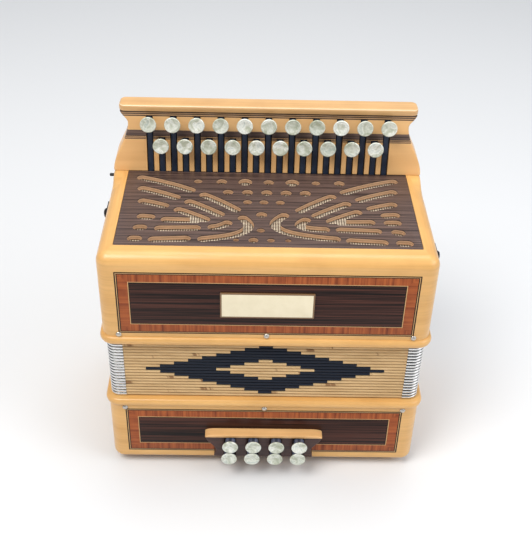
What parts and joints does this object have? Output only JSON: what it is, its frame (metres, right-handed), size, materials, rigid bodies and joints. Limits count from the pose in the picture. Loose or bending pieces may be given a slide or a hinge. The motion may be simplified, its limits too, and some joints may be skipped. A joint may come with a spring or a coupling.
{
  "type": "button accordion",
  "caption": "Two-row diatonic button accordion standing on its bass end: slotted fingerboard, fretted grille over a metal mesh, closed folded bellows and bass button block.",
  "frame": {"origin": "on the surface the feet stand on, at the middle of the overall box", "axes": "+Z from the bass end to the treble end, +X along the fingerboard to the viewer's right, -Y towards the bass and treble buttons' faces"},
  "size_m": [0.2551, 0.172, 0.2648],
  "materials": {
    "honey_maple": "satin varnish over honey-coloured maple",
    "dark_veneer": "oiled dark striped veneer",
    "inlay_veneer": "varnished veneer with cross-banding and stringing",
    "inner_wood": "plain unfinished wood",
    "cream_plate": "cream celluloid",
    "black_metal": "black enamel",
    "silver_mesh": "perforated sheet",
    "steel": "drawn wire",
    "bellows_card": "paper-covered card",
    "leather": "dark leather",
    "foot_rubber": "matt",
    "key_lever": "blue-black lacquer",
    "pearl": "mother-of-pearl",
    "nickel": "polished nickel"
  },
  "bodies": {
    "bass_end": {"bass_case": "honey_maple", "bass_end_plate": "honey_maple", "foot_front_left": "foot_rubber", "foot_front_right": "foot_rubber", "foot_back_left": "foot_rubber", "foot_back_right": "foot_rubber", "bass_front_inlay": "inlay_veneer", "bass_button_block": "dark_veneer", "bass_block_strip": "honey_maple", "bass_pallet_board": "inner_wood", "bass_reed_block": "inner_wood", "bellows_frame_bass": "inner_wood", "hand_strap": "leather", "bellows": "bellows_card"},
    "treble_end": {"treble_case": "honey_maple", "treble_front_inlay": "inlay_veneer", "name_plate": "cream_plate", "treble_grille": "dark_veneer", "grille_mesh": "silver_mesh", "fingerboard": "honey_maple", "fingerboard_cap": "honey_maple", "treble_pallet_board": "inner_wood", "treble_reed_block_1": "inner_wood", "treble_reed_block_2": "inner_wood", "treble_axle": "steel", "bellows_frame_treble": "inner_wood", "strap_bracket_left": "black_metal", "strap_bracket_right": "black_metal", "strap_peg": "black_metal"},
    "outer_key_1": {"outer_key_1": "key_lever"},
    "outer_key_2": {"outer_key_2": "key_lever"},
    "outer_key_3": {"outer_key_3": "key_lever"},
    "outer_key_4": {"outer_key_4": "key_lever"},
    "outer_key_5": {"outer_key_5": "key_lever"},
    "outer_key_6": {"outer_key_6": "key_lever"},
    "outer_key_7": {"outer_key_7": "key_lever"},
    "outer_key_8": {"outer_key_8": "key_lever"},
    "outer_key_9": {"outer_key_9": "key_lever"},
    "outer_key_10": {"outer_key_10": "key_lever"},
    "outer_key_11": {"outer_key_11": "key_lever"},
    "inner_key_1": {"inner_key_1": "key_lever"},
    "inner_key_2": {"inner_key_2": "key_lever"},
    "inner_key_3": {"inner_key_3": "key_lever"},
    "inner_key_4": {"inner_key_4": "key_lever"},
    "inner_key_5": {"inner_key_5": "key_lever"},
    "inner_key_6": {"inner_key_6": "key_lever"},
    "inner_key_7": {"inner_key_7": "key_lever"},
    "inner_key_8": {"inner_key_8": "key_lever"},
    "inner_key_9": {"inner_key_9": "key_lever"},
    "inner_key_10": {"inner_key_10": "key_lever"},
    "bass_button_1": {"bass_button_1": "pearl"},
    "bass_button_2": {"bass_button_2": "pearl"},
    "bass_button_3": {"bass_button_3": "pearl"},
    "bass_button_4": {"bass_button_4": "pearl"},
    "bass_button_5": {"bass_button_5": "pearl"},
    "bass_button_6": {"bass_button_6": "pearl"},
    "bass_button_7": {"bass_button_7": "pearl"},
    "bass_button_8": {"bass_button_8": "pearl"},
    "air_button": {"air_button": "pearl"}
  },
  "joints": [
    {"name": "bellows_opening", "type": "slide", "parent": "bass_end", "child": "treble_end", "axis": [0, 0, 1], "range_m": [0, 0.26], "deforming": ["bellows"]},
    {"name": "outer_key_1_press", "type": "hinge", "parent": "treble_end", "child": "outer_key_1", "pos_m": [0, 0.05162, 0.2], "axis": [1, 0, 0], "range_deg": [-4.3, 0], "stiffness_Nm_per_rad": 0.6, "springref_deg": 6.88},
    {"name": "outer_key_2_press", "type": "hinge", "parent": "treble_end", "child": "outer_key_2", "pos_m": [0, 0.05162, 0.2], "axis": [1, 0, 0], "range_deg": [-4.3, 0], "stiffness_Nm_per_rad": 0.6, "springref_deg": 6.88},
    {"name": "outer_key_3_press", "type": "hinge", "parent": "treble_end", "child": "outer_key_3", "pos_m": [0, 0.05162, 0.2], "axis": [1, 0, 0], "range_deg": [-4.3, 0], "stiffness_Nm_per_rad": 0.6, "springref_deg": 6.88},
    {"name": "outer_key_4_press", "type": "hinge", "parent": "treble_end", "child": "outer_key_4", "pos_m": [0, 0.05162, 0.2], "axis": [1, 0, 0], "range_deg": [-4.3, 0], "stiffness_Nm_per_rad": 0.6, "springref_deg": 6.88},
    {"name": "outer_key_5_press", "type": "hinge", "parent": "treble_end", "child": "outer_key_5", "pos_m": [0, 0.05162, 0.2], "axis": [1, 0, 0], "range_deg": [-4.3, 0], "stiffness_Nm_per_rad": 0.6, "springref_deg": 6.88},
    {"name": "outer_key_6_press", "type": "hinge", "parent": "treble_end", "child": "outer_key_6", "pos_m": [0, 0.05162, 0.2], "axis": [1, 0, 0], "range_deg": [-4.3, 0], "stiffness_Nm_per_rad": 0.6, "springref_deg": 6.88},
    {"name": "outer_key_7_press", "type": "hinge", "parent": "treble_end", "child": "outer_key_7", "pos_m": [0, 0.05162, 0.2], "axis": [1, 0, 0], "range_deg": [-4.3, 0], "stiffness_Nm_per_rad": 0.6, "springref_deg": 6.88},
    {"name": "outer_key_8_press", "type": "hinge", "parent": "treble_end", "child": "outer_key_8", "pos_m": [0, 0.05162, 0.2], "axis": [1, 0, 0], "range_deg": [-4.3, 0], "stiffness_Nm_per_rad": 0.6, "springref_deg": 6.88},
    {"name": "outer_key_9_press", "type": "hinge", "parent": "treble_end", "child": "outer_key_9", "pos_m": [0, 0.05162, 0.2], "axis": [1, 0, 0], "range_deg": [-4.3, 0], "stiffness_Nm_per_rad": 0.6, "springref_deg": 6.88},
    {"name": "outer_key_10_press", "type": "hinge", "parent": "treble_end", "child": "outer_key_10", "pos_m": [0, 0.05162, 0.2], "axis": [1, 0, 0], "range_deg": [-4.3, 0], "stiffness_Nm_per_rad": 0.6, "springref_deg": 6.88},
    {"name": "outer_key_11_press", "type": "hinge", "parent": "treble_end", "child": "outer_key_11", "pos_m": [0, 0.05162, 0.2], "axis": [1, 0, 0], "range_deg": [-4.3, 0], "stiffness_Nm_per_rad": 0.6, "springref_deg": 6.88},
    {"name": "inner_key_1_press", "type": "hinge", "parent": "treble_end", "child": "inner_key_1", "pos_m": [0, 0.05162, 0.2], "axis": [1, 0, 0], "range_deg": [-5.4, 0], "stiffness_Nm_per_rad": 0.6, "springref_deg": 6.88},
    {"name": "inner_key_2_press", "type": "hinge", "parent": "treble_end", "child": "inner_key_2", "pos_m": [0, 0.05162, 0.2], "axis": [1, 0, 0], "range_deg": [-5.4, 0], "stiffness_Nm_per_rad": 0.6, "springref_deg": 6.88},
    {"name": "inner_key_3_press", "type": "hinge", "parent": "treble_end", "child": "inner_key_3", "pos_m": [0, 0.05162, 0.2], "axis": [1, 0, 0], "range_deg": [-5.4, 0], "stiffness_Nm_per_rad": 0.6, "springref_deg": 6.88},
    {"name": "inner_key_4_press", "type": "hinge", "parent": "treble_end", "child": "inner_key_4", "pos_m": [0, 0.05162, 0.2], "axis": [1, 0, 0], "range_deg": [-5.4, 0], "stiffness_Nm_per_rad": 0.6, "springref_deg": 6.88},
    {"name": "inner_key_5_press", "type": "hinge", "parent": "treble_end", "child": "inner_key_5", "pos_m": [0, 0.05162, 0.2], "axis": [1, 0, 0], "range_deg": [-5.4, 0], "stiffness_Nm_per_rad": 0.6, "springref_deg": 6.88},
    {"name": "inner_key_6_press", "type": "hinge", "parent": "treble_end", "child": "inner_key_6", "pos_m": [0, 0.05162, 0.2], "axis": [1, 0, 0], "range_deg": [-5.4, 0], "stiffness_Nm_per_rad": 0.6, "springref_deg": 6.88},
    {"name": "inner_key_7_press", "type": "hinge", "parent": "treble_end", "child": "inner_key_7", "pos_m": [0, 0.05162, 0.2], "axis": [1, 0, 0], "range_deg": [-5.4, 0], "stiffness_Nm_per_rad": 0.6, "springref_deg": 6.88},
    {"name": "inner_key_8_press", "type": "hinge", "parent": "treble_end", "child": "inner_key_8", "pos_m": [0, 0.05162, 0.2], "axis": [1, 0, 0], "range_deg": [-5.4, 0], "stiffness_Nm_per_rad": 0.6, "springref_deg": 6.88},
    {"name": "inner_key_9_press", "type": "hinge", "parent": "treble_end", "child": "inner_key_9", "pos_m": [0, 0.05162, 0.2], "axis": [1, 0, 0], "range_deg": [-5.4, 0], "stiffness_Nm_per_rad": 0.6, "springref_deg": 6.88},
    {"name": "inner_key_10_press", "type": "hinge", "parent": "treble_end", "child": "inner_key_10", "pos_m": [0, 0.05162, 0.2], "axis": [1, 0, 0], "range_deg": [-5.4, 0], "stiffness_Nm_per_rad": 0.6, "springref_deg": 6.88},
    {"name": "bass_button_1_press", "type": "slide", "parent": "bass_end", "child": "bass_button_1", "axis": [0, 1, 0], "range_m": [0, 0.003], "stiffness_N_per_m": 300, "springref_m": -0.004},
    {"name": "bass_button_2_press", "type": "slide", "parent": "bass_end", "child": "bass_button_2", "axis": [0, 1, 0], "range_m": [0, 0.003], "stiffness_N_per_m": 300, "springref_m": -0.004},
    {"name": "bass_button_3_press", "type": "slide", "parent": "bass_end", "child": "bass_button_3", "axis": [0, 1, 0], "range_m": [0, 0.003], "stiffness_N_per_m": 300, "springref_m": -0.004},
    {"name": "bass_button_4_press", "type": "slide", "parent": "bass_end", "child": "bass_button_4", "axis": [0, 1, 0], "range_m": [0, 0.003], "stiffness_N_per_m": 300, "springref_m": -0.004},
    {"name": "bass_button_5_press", "type": "slide", "parent": "bass_end", "child": "bass_button_5", "axis": [0, 1, 0], "range_m": [0, 0.003], "stiffness_N_per_m": 300, "springref_m": -0.004},
    {"name": "bass_button_6_press", "type": "slide", "parent": "bass_end", "child": "bass_button_6", "axis": [0, 1, 0], "range_m": [0, 0.003], "stiffness_N_per_m": 300, "springref_m": -0.004},
    {"name": "bass_button_7_press", "type": "slide", "parent": "bass_end", "child": "bass_button_7", "axis": [0, 1, 0], "range_m": [0, 0.003], "stiffness_N_per_m": 300, "springref_m": -0.004},
    {"name": "bass_button_8_press", "type": "slide", "parent": "bass_end", "child": "bass_button_8", "axis": [0, 1, 0], "range_m": [0, 0.003], "stiffness_N_per_m": 300, "springref_m": -0.004},
    {"name": "air_button_press", "type": "slide", "parent": "bass_end", "child": "air_button", "axis": [0, -1, 0], "range_m": [0, 0.004], "stiffness_N_per_m": 300, "springref_m": -0.004}
  ]
}
